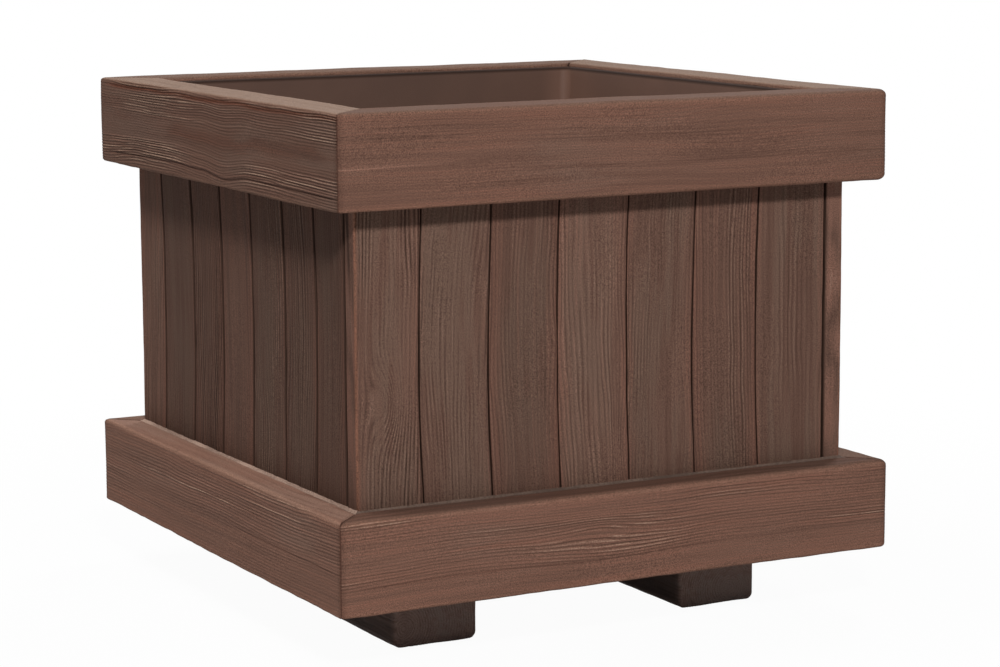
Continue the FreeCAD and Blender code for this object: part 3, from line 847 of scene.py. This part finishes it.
def makeRail(frameName, look, side):
    node = f"{frameName}_rail_{side}"
    counted, inward = walls[side]
    low, high = reach(node, up)
    face, inner = reach(node, inward)
    thick = inner - face
    wall = reach(f"{side}_board_1", inward)[0] - face
    sections = [railOutline(look, side, end, low, high, wall, thick) for end in (0, 1)]
    growth = railGrowth(look, side, sections[0], low, high, thick)
    rail = straightTimber(f"{frameName}Rail{side.title()}", node, look, sections, (up, counted, inward),
                          growth, mitredEnds)
    fit(rail, "rail", "rail_timber", node)


for wallSide in walls:
    makeRail("rim", rimLook, wallSide)
    makeRail("base", baseLook, wallSide)
print("rails:", 2 * len(walls))


# Skids, floor slats and ledgers

skidLook = {
    "radius": 7 * mm, "points": 56, "ease": 2.5 * mm, "along": 7 * mm, "capLoops": 12,
    "spacing": 2.9 * mm, "wander": 0.25, "ridge": 0.28 * mm, "uneven": 0.4 * mm, "rag": 0.2 * mm,
    "sideTone": -4.5,  # painted shade: the sides darker than the bare end grain, as they lie in shade under the planter
    "heart": {"left": (-0.032, 0.021), "right": (0.020, 0.016)}, "lean": (0.02, 0.01),
    "seed": {"left": 509, "right": 510},
}
battenLook = {
    "slatRadius": 2 * mm, "ledgerRadius": 1 * mm, "backRadius": 0.6 * mm, "arcSteps": 3,
    "across": 2.5 * mm, "edgePoints": 4, "ease": 0.8 * mm, "along": 12 * mm,
    "spacing": 4.5 * mm, "ridge": 0.12 * mm, "uneven": 0.12 * mm, "rag": 0.1 * mm,
    "pith": ((-0.09, 0.09), (0.03, 0.06), (-0.05, 0.05), (-0.08, 0.08)), "toneChance": (-0.8, 0.8),
}


def makeSkid(side):
    look = skidLook
    node = f"skid_{side}"
    low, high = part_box(node)
    corners = (low.x, 0), (high.x, 0), (high.x, high.z), (low.x, high.z)
    section = outlineOf([(a, d, look["radius"], look["points"], 1) for a, d in corners])
    pithX, pithZ = look["heart"][side]
    pith = ((low.x + high.x) / 2 + pithX, pithZ, *look["lean"])
    growth = growthOf(look["seed"][side], look, section, pith=pith, wander=look["wander"],
                      ridge=look["ridge"], sideTone=look["sideTone"])
    skid = straightTimber(f"skid{side.title()}", node, look, (section, section), (east, north, up), growth)
    fit(skid, "skid", "skid_timber", node)


def makeBatten(name, node, axes, radius, seed):
    # a sawn batten or slat with plain faces
    look = battenLook
    left, right = reach(node, axes[0])
    face, back = reach(node, axes[2])
    thick, wide = back - face, int((right - left) / look["across"])
    backRadius, edge = look["backRadius"], look["edgePoints"]
    corners = [(left, 0, radius, wide, 1), (right, 0, radius, edge, 1),
               (right, thick, backRadius, wide, 1), (left, thick, backRadius, edge, 1)]
    section = outlineOf(corners, look["arcSteps"])
    dice = np.random.default_rng(seed)
    growth = growthOf(seed, look, section, pith=pithOf(dice, look, (left + right) / 2), ridge=look["ridge"],
                      tone=dice.uniform(*look["toneChance"]))
    batten = straightTimber(name, node, look, (section, section), axes, growth)
    fit(batten, "inner", "inner_timber", node)


for skidSide in ("left", "right"):
    makeSkid(skidSide)
for slatNumber in range(1, 7):
    makeBatten(f"floorSlat{slatNumber}", f"floor_slat_{slatNumber}", (north, east, -up),
               battenLook["slatRadius"], 600 + 5 * slatNumber)
for wallSide, (counted, inward) in walls.items():
    makeBatten(f"ledger{wallSide.title()}", f"ledger_{wallSide}", (up, counted, -inward),
               battenLook["ledgerRadius"], 700 + 5 * wallOrder.index(wallSide))
print("skids: 2, slats: 6, ledgers: 4")


# Dusty bead of old stain where the walls meet the base

beadLook = {
    "body": (140, 116, 102), "deep": (102, 82, 71), "rough": 0.9, "gloss": 0.2,
    # darker on the front and paler on the left: painted shade and painted light for how each side's ledge is
    # lit
    "tone": bySide(-4.4, -1, -1, 3),
    "tall": 1.8 * mm, "wide": 4.0 * mm, "sunk": 1.0 * mm, "rows": 190,
    "slope": ((0.1, 1), (0.25, 0.5), (0.55, 0.2), (1, 0.06)),  # shares of its width and of its height
}


def beadFinish():
    finish = Finish("dustyBead")
    _, (_, tone, _) = finish.mark("growth")
    place = finish.place()
    grit = finish.noise(place, 420.0, 3.0, 0.7)
    drift = finish.noise(place, 14.0)
    dusty = finish.ramp(grit * 0.5 + drift * 0.5, 0.4, 0.62)
    colour = finish.blend(dusty, stain(beadLook["deep"]), stain(beadLook["body"]))
    finish.put("Base Color", finish.shade(colour, 1 + tone * toneStep))
    finish.put("Roughness", beadLook["rough"])
    finish.bump(0.8, 0.8 * mm, grit)
    finish.put("Specular IOR Level", beadLook["gloss"])
    return finish.material


def makeBead(side, material):
    look = beadLook
    counted, inward = walls[side]
    face = reach(f"{side}_board_1", inward)[0]
    first = reach(f"{side}_board_1", counted)[0]
    last = -first
    seed = 800 + wallOrder.index(side)
    along = np.linspace(0, 1, look["rows"])[:, None]
    rough = cloud(along * 60, 0.5, seed) + 0.4 * cloud(along * 190, 0.5, seed + 1)
    tall = look["tall"] * (1 + 0.25 * rough)
    wide = look["wide"] * (1 + 0.2 * cloud(along * 50, 1.5, seed + 2))
    sunk = look["sunk"] + 0 * along
    slopeOut = [share * wide for share, _ in look["slope"]]
    slopeRise = [share * tall for _, share in look["slope"]]
    out = np.concatenate((-sunk, -sunk, *slopeOut, wide), axis=1)
    rise = np.concatenate((-sunk, tall, *slopeRise, -sunk), axis=1)
    run = (first - out) * (1 - along) + (last + out) * along
    place = run[..., None] * counted + (face - out)[..., None] * inward + (baseTop + rise)[..., None] * up
    growth = np.zeros(place.shape)
    growth[..., 1] = look["tone"][side]
    bead = meshPiece(f"footBead{side.title()}", *closedSkin(place, {"growth": growth}))
    bead.data.materials.append(material)
    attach(bead, "planter")


beadDust = beadFinish()
for wallSide in walls:
    makeBead(wallSide, beadDust)
print("foot beads:", len(walls))


# Liner and nails

linerLook = {
    "body": (88, 64, 53), "deep": (80, 58, 48), "rough": (0.55, 0.66), "gloss": 0.3,
    "lip": (0.516, 0.5198), "lipShade": 0.65,  # heights between which its top edge turns dark
    "paintedLightSpan": (0.205, 0.236), "paintedWallLight": 0.38,  # painted light: from here to here one inner wall is painted paler, as light falls on it
}
nailLook = {"body": (120, 116, 112), "rust": (112, 72, 48)}


def linerFinish():
    look = linerLook
    finish = Finish("linerPlastic")
    place = finish.place()
    cloudy = finish.noise(place, 9.0, 3.0)
    grit = finish.noise(place, 900.0, 2.0, 0.6)
    aside, _, height = finish.split(place)
    lip = finish.ramp(height, *look["lip"])
    paintedWallLight = finish.ramp(aside, *look["paintedLightSpan"], 0.0, look["paintedWallLight"])
    colour = finish.blend(finish.ramp(cloudy, 0.3, 0.7), stain(look["deep"]), stain(look["body"]))
    lightness = 0.92 + grit * 0.16 + paintedWallLight - lip * (look["lipShade"] + paintedWallLight)
    finish.put("Base Color", finish.shade(colour, lightness))
    finish.put("Roughness", finish.ramp(grit, 0.3, 0.7, *look["rough"]) + lip)
    finish.bump(0.35, 0.4 * mm, grit)
    finish.put("Specular IOR Level", look["gloss"])
    return finish.material


def nailFinish():
    finish = Finish("nailSteel")
    rust = finish.ramp(finish.noise(finish.place(), 260.0, 3.0), 0.45, 0.65)
    finish.put("Base Color", finish.blend(rust, stain(nailLook["body"]), stain(nailLook["rust"])))
    finish.put("Metallic", 1 - rust * 0.8)
    finish.put("Roughness", 0.4 + rust * 0.4)
    return finish.material


def dress(node, material):
    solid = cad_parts[node]
    solid.data.materials.clear()
    solid.data.materials.append(material)


dress("liner", linerFinish())
steel = nailFinish()
for nailNode in ("rim_nails", "base_nails", "ledger_nails", "floor_nails"):
    dress(nailNode, steel)
print("liner and nails dressed")


# Floor, light and camera

studio = {
    "world": 0.115,
    "worldColour": (0.82, 1.0, 1.16, 1.0),  # a little cool, like daylight
    "lamps": {
        "keyLamp": {"place": (-1.4, -3.6, 2.75), "size": 0.5, "power": 176.0},
        "topLamp": {"place": (-1.2, 0.6, 3.0), "size": 1.6, "power": 52.0},
        "backLamp": {"place": (2.6, 1.9, 3.2), "size": 1.2, "power": 85.0},
    },
    "aim": (0, 0, 0.28),  # where the lamps point
    "floor": (196, 196, 196), "floorMottle": 4, "floorSize": 60, "floorLevel": -1 * mm,
    "floorWhite": 0.965,  # how white the floor beside the planter is to the camera
    "floorFade": (0.5, 1.3),  # from here to here it turns wholly white
}
white = (1, 1, 1, 1)
cameraView = {
    "place": (-1.3801, -2.6276, 0.7221),
    "target": (-0.0755, -0.1882, 0.2943),
    "lens": 103.4, "sensor": 36, "roll": -0.005,
}


def areaLamp(name, setting):
    lamp = bpy.data.lights.new(name, "AREA")
    lamp.shape = "DISK"
    lamp.size = setting["size"]
    lamp.energy = setting["power"]
    made = bpy.data.objects.new(name, lamp)
    made.location = setting["place"]
    aim = Vector(studio["aim"]) - Vector(setting["place"])
    made.rotation_euler = aim.to_track_quat("-Z", "Y").to_euler()
    scene.collection.objects.link(made)


class Backdrop(Finish):
    # the world's own nodes
    def __init__(self, world):
        world.use_nodes = True
        self.tree = world.node_tree


def makeWorld():
    world = bpy.data.worlds.new("studio")
    scene.world = world
    backdrop = Backdrop(world)
    soft = backdrop.node("ShaderNodeBackground", inputs={0: studio["worldColour"], 1: studio["world"]})
    plain = backdrop.node("ShaderNodeBackground", inputs={0: white, 1: 1.0})
    shown = backdrop.node("ShaderNodeMixShader", inputs={0: backdrop.seen(), 1: soft, 2: plain})
    backdrop.feed(backdrop.tree.nodes["World Output"].inputs["Surface"], shown)


def makeFloor():
    bpy.ops.mesh.primitive_plane_add(size=studio["floorSize"], location=(0, 0, studio["floorLevel"]))
    floor = bpy.context.active_object
    floor.name = "studioFloor"
    finish = Finish("paleFloor")
    place = finish.place()
    pale = [part + studio["floorMottle"] for part in studio["floor"]]
    finish.put("Base Color", finish.blend(finish.noise(place, 3.0), stain(studio["floor"]), stain(pale)))
    finish.put("Roughness", 0.9)
    lit = Wire(finish, finish.shader.outputs[0])
    plain = finish.node("ShaderNodeEmission", inputs={0: white, 1: 1.0})
    share = finish.seen() * finish.ramp(finish.length(place), *studio["floorFade"], studio["floorWhite"], 1.0)
    shown = finish.node("ShaderNodeMixShader", inputs={0: share, 1: lit, 2: plain})
    finish.feed(finish.tree.nodes["Material Output"].inputs["Surface"], shown)
    floor.data.materials.append(finish.material)


def makeCamera():
    data = bpy.data.cameras.new("photoCamera")
    data.lens = cameraView["lens"]
    data.sensor_width = cameraView["sensor"]
    data.sensor_fit = "HORIZONTAL"
    camera = bpy.data.objects.new("photoCamera", data)
    place, target = Vector(cameraView["place"]), Vector(cameraView["target"])
    turn = (target - place).to_track_quat("-Z", "Y").to_matrix()
    turn = turn @ Matrix.Rotation(cameraView["roll"], 3, "Z")
    camera.matrix_world = Matrix.Translation(place) @ turn.to_4x4()
    scene.collection.objects.link(camera)
    scene.camera = camera


scene.view_settings.view_transform = "Standard"
makeWorld()
makeFloor()
for lamp in studio["lamps"].items():
    areaLamp(*lamp)
makeCamera()
print("studio and camera ready")

bpy.context.view_layer.update()
